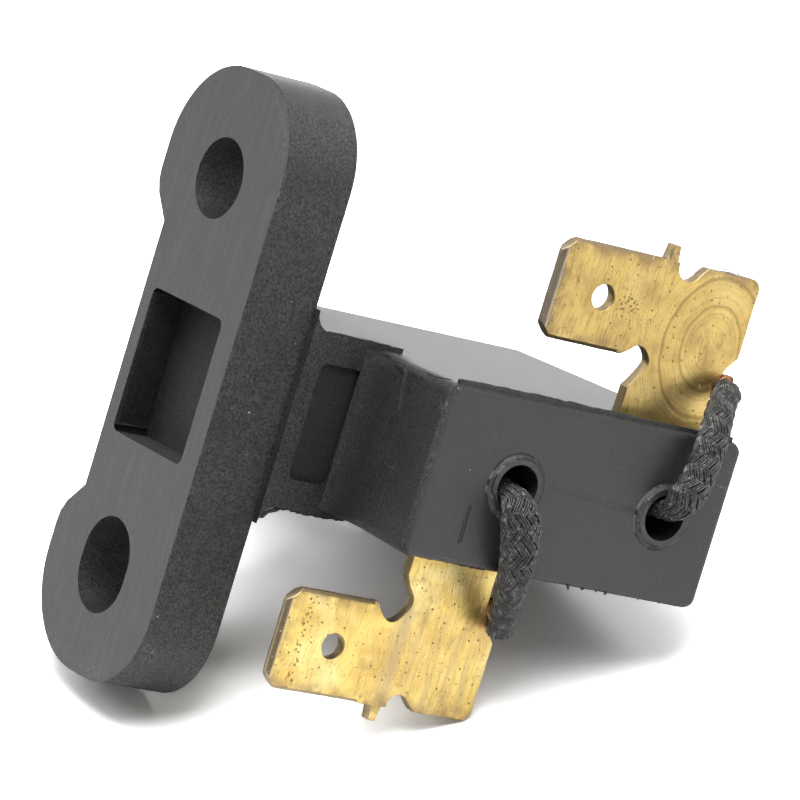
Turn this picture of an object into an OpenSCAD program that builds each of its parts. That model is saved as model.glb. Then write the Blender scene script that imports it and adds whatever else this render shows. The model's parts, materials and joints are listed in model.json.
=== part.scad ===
// Two-brush slip-ring brush holder with blade terminals.
// Origin: centre of the flange's outer face, midway between its two holes.
// +X runs from the flange to the block's tip, +Y is the way the brushes point,
// and +Z runs along the flange from the slotted hole to the round one.

/* [Flange] */
// Thickness of the flange along X
flange_t = 4.95; // [3.5:0.05:7]
// Distance between the centres of the two holes
hole_pitch = 24.5; // [23:0.1:30]
// Diameter of the round hole
hole_d = 5; // [4:0.1:6]
// Width of the slotted hole
slot_w = 5.2; // [4:0.1:6]
// How much longer than wide the slotted hole is
slot_extra = 0.8; // [0:0.1:2]
// Length of the flange along Z
flange_len = 38.1; // [36:0.1:44]
// Distance from the hole line to the edge on the -Y side
flange_edge = 6.6; // [6:0.05:7]
// Distance from the hole line to the ends' edge on the +Y side
far_edge = 6.45; // [6:0.05:7]
// Radius of the flange's corners on the -Y side
near_r = 5.2; // [3:0.1:6.4]
// Radius of the flange's corners on the +Y side
far_r = 6; // [3:0.1:6.4]
// Distance from the hole line to the waist on the +Y side
waist_edge = 4.5; // [4:0.05:6]
// Half the length of the waist along Z
waist_half = 8.45; // [7.5:0.05:9.5]

/* [Pocket in the flange] */
// Width of the pocket along Y
pocket_w = 8.2; // [5:0.1:9]
// Height of the pocket along Z
pocket_h = 9.1; // [5:0.1:9.6]
// Depth of the pocket along X
pocket_depth = 2.45; // [1:0.05:4]
// Place of the pocket's centre along Y
pocket_y = -0.7; // [-1:0.1:0]
// Radius of the pocket's corners
pocket_r = 0.5; // [0.2:0.1:1.5]

/* [Neck] */
// Distance from the hole line to the neck's face on the -Y side
neck_edge = 7.1; // [6.7:0.05:8]
// Height of the neck along Z
neck_h = 11; // [10:0.1:13]
// How far the neck's raised top and bottom reach over the block
neck_lap = 1.9; // [0.5:0.1:4]
// Radius of the fillets between neck and flange
neck_fillet = 1.2; // [0.4:0.1:2]
// Radius of the fillet between neck and block
wall_fillet = 1.4; // [0.3:0.1:2]
// Width of the shallow recess in the neck's face, along X
recess_w = 2.9; // [1.5:0.1:3.2]
// Height of that recess along Z
recess_h = 7.3; // [4:0.1:9]
// Depth of that recess
recess_depth = 0.3; // [0.1:0.05:0.8]

/* [Block] */
// Distance from the flange's outer face to the block
block_start = 9.7; // [9:0.1:11]
// Length of the block along X
block_len = 22.5; // [22:0.1:30]
// Height of the block's front face along Z
block_h = 10.7; // [9.6:0.1:13]
// Distance from the hole line to the block's front face, on the -Y side
front_edge = 15.65; // [15:0.05:20]
// Distance from the hole line to the block's back face, on the +Y side
back_edge = 8.5; // [6:0.1:14]
// Draft of the block's four sides, in degrees
draft = 1.2; // [0:0.1:2]
// Radius of the corners that run along Y
corner_r = 0.7; // [0.3:0.05:1.2]
// Radius of the edge round the front face
front_r = 0.45; // [0.2:0.05:0.8]
// Height and width of the parting ridge behind the front face
ridge = 0.25; // [0.1:0.05:0.4]

/* [Brushes] */
// Distance from the flange's outer face to the inner brush
inner_x = 16.25; // [16:0.05:18]
// Distance between the two brushes along X
brush_pitch = 11.4; // [10.5:0.05:12]
// Width of a brush along X
brush_w = 5; // [3.5:0.1:5.4]
// Height of a brush along Z
brush_h = 6.5; // [5:0.1:7.2]
// Length of a brush along Y
brush_len = 17.5; // [13:0.1:20]
// How far a brush stands out of the block
brush_reach = 8.5; // [5:0.1:9.5]
// Radius of the slip ring that the brushes bear on
ring_r = 14; // [8:0.5:30]
// Gap between a brush and its well, on each side
well_gap = 0.15; // [0.05:0.05:0.3]
// Thickness of the wall between the front face and the wells
front_wall = 4.7; // [4.4:0.1:6]
// Bevel round the spring end of a brush
brush_bevel = 0.4; // [0.1:0.05:0.8]

/* [Springs] */
// Outside diameter of a spring
spring_d = 4.6; // [3.2:0.1:4.9]
// Diameter of the spring's wire
spring_wire = 0.5; // [0.3:0.05:0.7]
// Number of turns
spring_turns = 7; // [4:1:9]

/* [Terminals] */
// Width of a blade
blade_w = 6.3; // [4.8:0.1:6.3]
// Thickness of the sheet
sheet_t = 0.8; // [0.5:0.05:1]
// Distance from the mid plane to the middle of a blade
blade_rise = 12; // [11:0.1:14]
// Distance from a blade's tip to its locating hole
blade_hole_in = 3.85; // [3:0.05:5]
// How much further the inner terminal's tip reaches
inner_extra = 0.2; // [0:0.05:0.5]
// Diameter of the locating hole
blade_hole_d = 1.6; // [1:0.05:2.2]
// Distance from the locating hole to the terminal's far end
blade_run = 11.4; // [11:0.1:12]
// Width of the neck that stands in the block
stem_w = 6.4; // [5:0.1:6.8]
// Distance along X from the inner brush's middle to its terminal's far edge
inner_side = 2.55; // [2.4:0.05:3]
// Distance along X from the outer brush's middle to its terminal's far edge
outer_side = 2.8; // [2.4:0.05:3.2]
// Distance from the block's front face to the terminals
sheet_in = 2.5; // [2:0.1:3.2]
// Distance from the mid plane to the end of the neck in its slot
stem_stop = 2.6; // [2:0.1:4]
// Width of the ground bevel round a blade's tip
blade_bevel = 0.25; // [0.1:0.05:0.35]

/* [Leads] */
// Diameter of the lead holes
lead_hole_d = 2.9; // [2.8:0.1:3.4]
// Diameter of the raised lips round them
lip_d = 4.3; // [3.4:0.1:5]
// Height of the lips
lip_h = 0.25; // [0.1:0.05:0.6]
// Thickness of the flattened sleeves
sleeve_t = 1.4; // [1.2:0.1:1.8]
// Wall of the sleeves
sleeve_wall = 0.25; // [0.15:0.05:0.3]
// Diameter of the copper pigtails
pigtail_d = 1.5; // [1:0.1:1.6]
// Diameter of the hole that a pigtail is packed into
packing_d = 2.8; // [2.2:0.1:3.2]
// Depth of that hole
packing_depth = 4.5; // [3:0.1:6]

/* [Hidden] */
$fn = 48;
plastic = [0.12, 0.12, 0.125];
carbon = [0.16, 0.155, 0.15];
steel = [0.62, 0.63, 0.65];
copper = [0.72, 0.42, 0.28];
braid = [0.08, 0.08, 0.085];
brass = [0.80, 0.66, 0.30];

eps = 0.01;             // overshoot of cuts and overlap of joined solids
gap = 0.05;             // running clearance between parts that meet
outer_x = inner_x + brush_pitch;
end_z = flange_len / 2;
front_y = -front_edge;
block_depth = front_edge + back_edge;
block_end = block_start + block_len;
taper = block_depth * tan(draft);
well_y = front_y + front_wall;
brush_y = back_edge + brush_reach - brush_len;
sheet_y = front_y + sheet_in;
spring_len = brush_y - well_y - 2 * gap;
slot_gap = 0.03;        // a terminal is a push fit in its slot
blade_hole_to_stem = 10.15; // from the locating hole to the neck's far edge
tip_cut = 0.9;          // legs of the cuts at a blade's tip
end_r = 0.7;            // corner of a terminal's shoulder
notch_r = [0.8, 0.95];  // notch behind the stop nub, inner and outer terminal
nub_x = 3.95;           // the nub starts this far from the locating hole
nub_w = 0.65;           // its width
nub_h = 0.95;           // its height
weld_proud = 0.1;       // a weld bead stands this far out of the terminal's face

// Relief between blade and neck, inner and outer terminal, from the blade's edge to
// the neck's. Points are [past the neck's edge, above the blade's edge].
reliefs = [
    [[-1.4, 0], [-1.2, 0.34], [-0.68, 0.89], [-0.18, 1.07], [0.3, 0.89], [0.75, 0.36],
        [0.95, -0.13], [0.92, -0.67], [0.42, -1.3], [0.04, -2.05]],
    [[-1.3, 0], [-0.78, 0.28], [-0.18, 0.72], [0.19, 0.75], [0.66, 0.48],
        [0.93, 0.13], [1.02, -0.2], [0.68, -0.9], [0.24, -1.56], [0, -1.85]]];

// Each lead leaves its hole, bends over the block's edge and runs to the side of
// the terminal's neck. Points are [x, y, z] from the middle of the hole's mouth;
// the fourth number is the sleeve's width there.
outer_route = [[0, 3.4, 0.1, 2.1], [0.05, 2.2, 0.25, 2.1], [0.15, 1.2, 0.4, 2.1],
    [0.2, 0.3, 0.5, 2.1], [0.2, -0.4, 0.58, 2.15], [0.26, -0.92, 0.9, 2.45],
    [0.35, -1.15, 1.5, 2.75], [0.65, -1.25, 2.4, 2.6], [0.92, -1.2, 3.6, 2.4],
    [1.26, -0.95, 4.9, 2.15], [1.82, -0.25, 6.3, 1.9], [2.5, 0.7, 7.4, 1.9],
    [3.25, 1.55, 8.35, 1.85]];
inner_route = [[0, 3.4, -0.1, 2.1], [0, 2.2, -0.25, 2.1], [0, 1.2, -0.4, 2.1],
    [0, 0.3, -0.5, 2.1], [0, -0.35, -0.6, 2.35], [0.02, -0.85, -0.9, 2.65],
    [0.16, -1.15, -1.5, 2.95], [0.43, -1.25, -2.4, 2.85], [0.84, -1.15, -3.6, 2.7],
    [1.23, -0.85, -4.8, 2.45], [1.77, -0.25, -6.1, 2.15], [2.39, 0.5, -7.5, 1.9],
    [3.1, 1.3, -9.05, 1.75]];
// The strands go on past the sleeve's end to the weld.
outer_tail = [[3.43, 2.08, 8.45], [3.43, 2.38, 8.45]];
inner_tail = [[3.3, 1.95, -9], [3.3, 2.38, -9]];

// ---- small shared shapes ----

// A box with four rounded corners, centred on X and Y, that starts at Z = 0
module rounded_box(size, r) {
    w = size[0];
    h = size[1];
    t = size[2];
    translate([-w / 2 + r, -h / 2, 0]) cube([w - 2 * r, h, t]);
    translate([-w / 2, -h / 2 + r, 0]) cube([w, h - 2 * r, t]);
    for (sx = [-1, 1], sy = [-1, 1])
        translate([sx * (w / 2 - r), sy * (h / 2 - r), 0])
            cylinder(h = t, r = r);
}

// The inside corner left between two faces by a fillet of radius r
module fillet_2d(r) {
    difference() {
        translate([-eps, -eps]) square(r + eps);
        translate([r, r]) circle(r);
    }
}

// ---- sweeps along a route ----

function unit(v) = v / norm(v);

// Catmull-Rom curve through the points p, at t from 0 to len(p) - 1
function along(p, t) =
    let (n = len(p) - 1, i = min(floor(t), n - 1), u = t - i,
        a = p[max(i - 1, 0)], b = p[i], c = p[i + 1], d = p[min(i + 2, n)])
    0.5 * (2 * b + (c - a) * u + (2 * a - 5 * b + 4 * c - d) * u * u
        + (3 * b - a - 3 * c + d) * u * u * u);
function xyz(v) = [v[0], v[1], v[2]];
function heading(p, t) =
    unit(xyz(along(p, min(t + 0.05, len(p) - 1)) - along(p, max(t - 0.05, 0))));

// One ring of an oval tube: its wide side keeps as close to X as the route lets it.
// A route's fourth number, where it has one, is the width; w is taken off it.
function ring(p, t, w, h, sides) =
    let (at = along(p, t), ahead = heading(p, t), x = [1, 0, 0],
        wide = unit(x - (x * ahead) * ahead), thin = cross(ahead, wide),
        full = len(at) > 3 ? at[3] - w : w)
    [for (k = [0:sides - 1]) let (a = 360 * k / sides)
        xyz(at) + wide * (full / 2 * cos(a)) + thin * (h / 2 * sin(a))];

function skin(rings, sides, first, flip) =
    [for (i = [0:rings - 2], k = [0:sides - 1])
        let (a = first + i * sides + k, b = first + i * sides + (k + 1) % sides)
        flip ? [a, b, b + sides, a + sides] : [a, a + sides, b + sides, b]];

// A solid oval rod along the points p, as wide and high as w and h
module oval_rod(p, w, h, step = 0.5, sides = 8) {
    ts = [for (t = [0:step:len(p) - 1]) t];
    rings = len(ts);
    polyhedron(
        points = [for (t = ts) each ring(p, t, w, h, sides)],
        faces = concat(skin(rings, sides, 0, false),
            [[for (k = [0:sides - 1]) k]],
            [[for (k = [sides - 1:-1:0]) (rings - 1) * sides + k]]));
}

// A tube whose width is the route's fourth number, with a wall of the given thickness
module oval_tube(p, h, wall, step = 0.5, sides = 12) {
    ts = [for (t = [0:step:len(p) - 1]) t];
    rings = len(ts);
    bore = rings * sides;
    last = (rings - 1) * sides;
    polyhedron(
        points = concat(
            [for (t = ts) each ring(p, t, 0, h, sides)],
            [for (t = ts) each ring(p, t, 2 * wall, h - 2 * wall, sides)]),
        faces = concat(skin(rings, sides, 0, false), skin(rings, sides, bore, true),
            [for (k = [0:sides - 1]) let (n = (k + 1) % sides)
                [k, n, bore + n, bore + k]],
            [for (k = [0:sides - 1]) let (n = (k + 1) % sides)
                [last + n, last + k, bore + last + k, bore + last + n]]));
}

// ---- holder: flange, neck and block, moulded in one ----

module flange_outline() {
    difference() {
        union() {
            // corners, which are rounder on the +Y side
            for (s = [-1, 1]) {
                translate([near_r - flange_edge, s * (end_z - near_r)])
                    circle(near_r, $fn = 96);
                translate([far_edge - far_r, s * (end_z - far_r)])
                    circle(far_r, $fn = 96);
            }
            translate([near_r - flange_edge, -end_z])
                square([far_edge - far_r + flange_edge - near_r, flange_len]);
            translate([-flange_edge, near_r - end_z])
                square([flange_edge, flange_len - 2 * near_r]);
            translate([0, far_r - end_z]) square([far_edge, flange_len - 2 * far_r]);
        }
        // waist on the +Y side, with sloping ends
        slope = far_edge - waist_edge;
        side = [[0, 0], [slope - 0.5, slope - 0.5], [slope - 0.1, slope + 0.25],
            [slope + eps, slope + 1]];
        polygon(concat(
            [for (q = side) [waist_edge + q[0], waist_half + q[1]]],
            [for (i = [len(side) - 1:-1:0])
                [waist_edge + side[i][0], -waist_half - side[i][1]]]));
    }
}

module flange() {
    // the outline is drawn with Y to the right and Z up, and is extruded along X
    rotate([90, 0, 90]) linear_extrude(flange_t) flange_outline();
}

module flange_holes() {
    translate([-eps, 0, hole_pitch / 2]) rotate([0, 90, 0])
        cylinder(h = flange_t + 2 * eps, d = hole_d);
    for (s = [-1, 1])
        translate([-eps, 0, -hole_pitch / 2 + s * slot_extra / 2]) rotate([0, 90, 0])
            cylinder(h = flange_t + 2 * eps, d = slot_w);
    translate([-eps, -slot_w / 2, -hole_pitch / 2 - slot_extra / 2])
        cube([flange_t + 2 * eps, slot_w, slot_extra]);
}

module pocket() {
    translate([-eps, pocket_y, 0]) rotate([90, 0, 90])
        rounded_box([pocket_w, pocket_h, pocket_depth + eps], pocket_r);
}

module neck() {
    neck_end = block_start + neck_lap;
    depth = neck_edge + waist_edge - eps;
    translate([flange_t - eps, -neck_edge, -neck_h / 2])
        cube([neck_end - flange_t + eps, depth, neck_h]);
    // fillets to the flange, above and below
    for (s = [0, 1])
        mirror([0, 0, s])
            translate([flange_t, waist_edge - eps, neck_h / 2]) rotate([90, 0, 0])
                linear_extrude(depth) fillet_2d(neck_fillet);
    // fillet to the block, on the -Y side, square to the block's drafted wall
    wall_inset = (front_edge - neck_edge) * tan(draft);
    translate([block_start + wall_inset + eps, -neck_edge + eps, -block_h / 2 + taper / 2])
        rotate([0, 0, 180 - draft])
            linear_extrude(block_h - taper) fillet_2d(wall_fillet);
}

// One slice of the block at the given distance behind the front face
module block_slice(y, inset) {
    r = max(corner_r - inset, 0.1);
    w = block_len - 2 * inset;
    h = block_h - 2 * inset;
    translate([block_start + block_len / 2, front_y + y, 0]) rotate([-90, 0, 0])
        rounded_box([w, h, eps], r, $fn = 32);
}

module block() {
    hull() {
        block_slice(0, front_r);
        block_slice(front_r * 0.3, front_r * 0.3);
        block_slice(front_r, 0);
        block_slice(block_depth - eps, taper);
    }
    // lips round the lead holes
    for (x = [inner_x, outer_x])
        translate([x, front_y + eps, 0]) rotate([90, 0, 0])
            cylinder(h = lip_h + eps, d1 = lip_d, d2 = lip_d - 3 * lip_h);
    // parting ridge along the top edge
    translate([block_start + corner_r, front_y + front_r, block_h / 2 - ridge])
        cube([block_len - 2 * corner_r, ridge, 2 * ridge]);
}

module block_cuts(x) {
    well = [brush_w + 2 * well_gap, back_edge - well_y + eps, brush_h + 2 * well_gap];
    translate([x - well[0] / 2, well_y, -well[2] / 2]) cube(well);
    translate([x, front_y - lip_h - eps, 0]) rotate([-90, 0, 0])
        cylinder(h = front_wall + lip_h + 2 * eps, d = lead_hole_d);
}

// Distance from a brush's middle to its terminal's far edge; s is 1 above, -1 below
function neck_side(s) = s > 0 ? outer_side : inner_side;

// The slot that a terminal's neck stands in
module stem_slot(x, s) {
    h = block_h / 2 + ridge - stem_stop + 1;
    translate([x + neck_side(s) - stem_w - slot_gap, sheet_y - slot_gap,
            s > 0 ? stem_stop - slot_gap : -stem_stop + slot_gap - h])
        cube([stem_w + 2 * slot_gap, sheet_t + 2 * slot_gap, h]);
}

module recess() {
    translate([flange_t + (block_start - flange_t) / 2 + 0.3, -neck_edge + recess_depth, 0])
        rotate([90, 0, 0])
            rounded_box([recess_w, recess_h, recess_depth + eps], 0.5);
}

module holder() {
    color(plastic) difference() {
        union() {
            flange();
            neck();
            block();
        }
        flange_holes();
        pocket();
        recess();
        block_cuts(inner_x);
        block_cuts(outer_x);
        stem_slot(outer_x, 1);
        stem_slot(inner_x, -1);
    }
}

// ---- brush gear; every module is given the brush's place along X ----

module brush(x) {
    tip_y = back_edge + brush_reach;
    color(carbon) difference() {
        translate([x - brush_w / 2, brush_y, -brush_h / 2])
            cube([brush_w, brush_len, brush_h]);
        // face worn to the slip ring
        sag = ring_r - sqrt(ring_r * ring_r - brush_h * brush_h / 4);
        translate([x - brush_w / 2 - 1, tip_y + ring_r - sag, 0]) rotate([0, 90, 0])
            cylinder(h = brush_w + 2, r = ring_r, $fn = 120);
        // bevels round the spring end
        for (s = [-1, 1]) {
            translate([x, brush_y, s * brush_h / 2]) rotate([45, 0, 0])
                cube([brush_w + 1, brush_bevel * sqrt(2), brush_bevel * sqrt(2)],
                    center = true);
            translate([x + s * brush_w / 2, brush_y, 0]) rotate([0, 0, 45])
                cube([brush_bevel * sqrt(2), brush_bevel * sqrt(2), brush_h + 1],
                    center = true);
        }
        translate([x, brush_y - eps, 0]) rotate([-90, 0, 0])
            cylinder(h = packing_depth + eps, d = packing_d);
    }
}

// Copper powder tamped round the pigtail in the brush's hole
module packing(x) {
    color(copper) translate([x, brush_y, 0]) rotate([-90, 0, 0]) difference() {
        cylinder(h = packing_depth, d = packing_d);
        translate([0, 0, -eps])
            cylinder(h = packing_depth - 0.5, d = pigtail_d + 2 * gap);
    }
}

// A helix with its last turn at each end lying flat
function spring_y(turn) =
    turn < 0.75 ? turn * spring_wire * 0.15
    : turn > spring_turns - 0.75
        ? spring_len - spring_wire - (spring_turns - turn) * spring_wire * 0.15
    : spring_wire * 0.5 + (turn - 0.75) * (spring_len - 2 * spring_wire)
        / (spring_turns - 1.5);

module spring(x) {
    steps = 14;
    sides = 6;
    r = (spring_d - spring_wire) / 2;
    rings = spring_turns * steps + 1;
    color(steel)
        translate([x, well_y + gap + spring_wire / 2, 0])
            polyhedron(
                points = [for (i = [0:rings - 1], k = [0:sides - 1])
                    let (turn = i / steps, a = 360 * turn, b = 360 * k / sides,
                        out = r + spring_wire / 2 * cos(b))
                    [out * cos(a), spring_y(turn) + spring_wire / 2 * sin(b),
                        out * sin(a)]],
                faces = concat(skin(rings, sides, 0, false),
                    [[for (k = [0:sides - 1]) k]],
                    [[for (k = [sides - 1:-1:0]) (rings - 1) * sides + k]]));
}

// A route moved to the mouth of the lead hole at x
function placed(x, route) =
    [for (q = route) len(q) > 3 ? q + [x, front_y, 0, 0] : q + [x, front_y, 0]];

// Copper strands from the packing, through the spring and the sleeve, to the weld
module pigtail(x, route, tail) {
    start = brush_y + packing_depth - 0.5 - gap;
    inside = [[x, start, 0], [x, brush_y, 0], [x, well_y, 0]];
    out = [for (q = placed(x, route)) xyz(q)];
    slim = min(sleeve_t - 2 * sleeve_wall - gap, pigtail_d);
    color(copper) oval_rod(concat(inside, out, placed(x, tail)), slim * 1.2, slim);
}

module sleeve(x, route) {
    color(braid) oval_tube(placed(x, route), sleeve_t, sleeve_wall);
}

// ---- terminals ----

// Places what is drawn round a terminal's locating hole, with the blade's tip to -X
// and the neck down, at the terminal of the brush at x; s is 1 above and -1 below
module at_sheet(x, s) {
    translate([x + neck_side(s) - blade_hole_to_stem, 0, 0])
        mirror([0, 0, s < 0 ? 1 : 0])
            translate([0, sheet_y + sheet_t, blade_rise]) rotate([90, 0, 0])
                children();
}

// Outline of a stamped terminal
module terminal_outline(tip, relief, notch) {
    w = blade_w / 2;
    stem_x = blade_hole_to_stem - stem_w;
    stem_end = -(blade_rise - stem_stop);
    corner = 0.65;
    notch_x = nub_x + nub_w + 1.25;
    difference() {
        polygon(concat(
            // tip, neck and the shoulder's cut corner
            [[-tip, w - tip_cut], [-tip, -w + tip_cut], [-tip + tip_cut, -w]],
            [for (t = [0:0.5:len(relief) - 1]) along(relief, t) + [stem_x, -w]],
            [[stem_x, stem_end], [blade_hole_to_stem, stem_end],
                [blade_hole_to_stem, -w - corner], [blade_run - corner, 0.55 - w],
                [blade_run, corner - w * 0.8]],
            // the shoulder's rounded corner
            [for (a = [0:15:90]) [blade_run - end_r * (1 - cos(a)),
                w - end_r * (1 - sin(a))]],
            // stop nub for the receptacle
            [[nub_x + nub_w + 0.1, w], [nub_x + nub_w, w + nub_h],
                [nub_x + 0.1, w + nub_h], [nub_x, w], [-tip + tip_cut, w]]));
        translate([notch_x, w - 0.1]) circle(notch);
        // the notch's sloping side
        polygon([[notch_x, w - notch / 2], [notch_x + 0.5, w - notch + 0.1],
            [notch_x + 1.3, w + eps], [notch_x, w + eps]]);
        circle(d = blade_hole_d);
    }
}

// A bar that cuts a 45 degree bevel along an edge, centred on the edge
module bevel_bar(length) {
    s = blade_bevel * sqrt(2);
    rotate([45, 0, 0]) cube([length, s, s], center = true);
}

module terminal(x, s) {
    w = blade_w / 2;
    outer = s > 0 ? 1 : 0;
    tip = blade_hole_in + inner_extra * (1 - outer);
    color(brass) at_sheet(x, s) difference() {
        linear_extrude(sheet_t)
            terminal_outline(tip, reliefs[outer], notch_r[outer]);
        for (z = [0, sheet_t]) {
            // the bevels stop short of the relief and of the nub
            for (side = [-1, 1]) {
                run = tip + (side > 0 ? nub_x - 1.1 : 2.2);
                translate([run / 2 - tip, side * w, z]) bevel_bar(run);
            }
            translate([-tip, 0, z]) rotate([0, 0, 90]) bevel_bar(blade_w + 1);
        }
    }
}

// Weld bead that joins the strands' end to the corner of the terminal's neck; it
// reaches up to the given height below the blade's middle
module weld(x, s, top) {
    u = blade_hole_to_stem;
    v = -blade_w / 2 - 0.65;
    color(copper) at_sheet(x, s) linear_extrude(sheet_t + weld_proud)
        polygon([[u, v - 0.8], [u, v], [u + 0.6, v + 0.8], [u + 0.9, top],
            [u + 1.4, top], [u + 1.6, top - 0.6], [u + 1.4, v - 0.4],
            [u + 1, v - 0.8]]);
}

holder();
brush(inner_x);  // inner_brush
packing(inner_x);  // inner_packing
spring(inner_x);  // inner_spring
pigtail(inner_x, inner_route, inner_tail);  // inner_pigtail
sleeve(inner_x, inner_route);  // inner_sleeve
terminal(inner_x, -1);  // inner_terminal
weld(inner_x, -1, -2.6);  // inner_weld
brush(outer_x);  // outer_brush
packing(outer_x);  // outer_packing
spring(outer_x);  // outer_spring
pigtail(outer_x, outer_route, outer_tail);  // outer_pigtail
sleeve(outer_x, outer_route);  // outer_sleeve
terminal(outer_x, 1);  // outer_terminal
weld(outer_x, 1, -3);  // outer_weld
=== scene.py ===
"""Looks for the brush holder: camera, light, materials and fine detail round the CAD frame."""
import json
import math
import random

import bmesh
import bpy
import numpy as np
from mathutils import Matrix, Vector, noise


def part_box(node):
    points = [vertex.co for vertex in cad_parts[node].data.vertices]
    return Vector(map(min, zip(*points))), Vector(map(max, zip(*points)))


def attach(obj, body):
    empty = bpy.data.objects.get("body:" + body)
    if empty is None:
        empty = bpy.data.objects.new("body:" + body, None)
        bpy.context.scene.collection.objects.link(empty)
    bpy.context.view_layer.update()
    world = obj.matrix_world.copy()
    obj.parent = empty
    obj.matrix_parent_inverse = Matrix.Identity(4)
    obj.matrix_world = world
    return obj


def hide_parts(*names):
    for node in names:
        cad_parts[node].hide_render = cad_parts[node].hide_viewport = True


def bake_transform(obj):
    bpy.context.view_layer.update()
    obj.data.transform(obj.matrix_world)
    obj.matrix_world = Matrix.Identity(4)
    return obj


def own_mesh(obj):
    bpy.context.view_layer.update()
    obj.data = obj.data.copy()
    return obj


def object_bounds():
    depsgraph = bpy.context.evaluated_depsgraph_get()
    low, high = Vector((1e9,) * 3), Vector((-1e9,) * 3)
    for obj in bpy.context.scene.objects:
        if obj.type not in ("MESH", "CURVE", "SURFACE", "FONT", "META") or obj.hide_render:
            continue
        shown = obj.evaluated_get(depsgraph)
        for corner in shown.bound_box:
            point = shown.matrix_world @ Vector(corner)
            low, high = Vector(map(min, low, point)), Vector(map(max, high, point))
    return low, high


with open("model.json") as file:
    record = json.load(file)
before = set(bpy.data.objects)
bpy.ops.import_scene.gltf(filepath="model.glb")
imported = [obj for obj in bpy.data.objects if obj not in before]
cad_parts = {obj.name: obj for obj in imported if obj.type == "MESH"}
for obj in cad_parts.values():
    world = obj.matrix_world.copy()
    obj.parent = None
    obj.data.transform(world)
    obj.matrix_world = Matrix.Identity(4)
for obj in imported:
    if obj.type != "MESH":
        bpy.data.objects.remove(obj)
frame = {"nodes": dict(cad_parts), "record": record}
cad_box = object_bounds()
MM = 0.001
noise.seed_set(7)    # without it, vector noise differs from run to run

# ---- camera: a long lens, a little above and to the left of the brushes' axis ----
RIGHT = Vector((0.79604696, -0.53146353, 0.28957857))
UP = Vector((-0.16817059, 0.26538654, 0.94936223))
BACK = Vector((-0.58140165, -0.80443552, 0.12188362))
CAMERA_AT = (-0.17995151, -0.27329228, 0.04274835)
SENSOR, LENS = 36, 246.375
cam_data = bpy.data.cameras.new("camera")
cam_data.sensor_width = SENSOR
cam_data.lens = LENS
camera = bpy.data.objects.new("camera", cam_data)
bpy.context.scene.collection.objects.link(camera)
camera.matrix_world = Matrix(
    [(RIGHT[i], UP[i], BACK[i], CAMERA_AT[i]) for i in range(3)] + [(0, 0, 0, 1)])
bpy.context.scene.camera = camera
bpy.context.scene.view_settings.view_transform = "Standard"

# ---- places that several pieces share, in millimetres ----
BRUSH = {}           # each brush's middle in x, and the y of its inner end
for side in ("inner", "outer"):
    low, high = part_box(side + "_brush")
    BRUSH[side] = {"x": (low.x + high.x) / 2 / MM, "y": low.y / MM}
FRONT = -15.65       # y of the block's front face
WELL = -10.95        # y of the wells' floor
# the middle of each blade's locating hole
HOLE = {"inner": (8.65, -12.75, -12.0), "outer": (20.3, -12.75, 12.0)}
POCKET = {"y": -0.7, "half_y": 4.3, "half_z": 4.8, "depth": 2.7}
RECESS = {"x": (6.1, 9.2), "half_z": 3.8, "y": -7.0}


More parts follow.
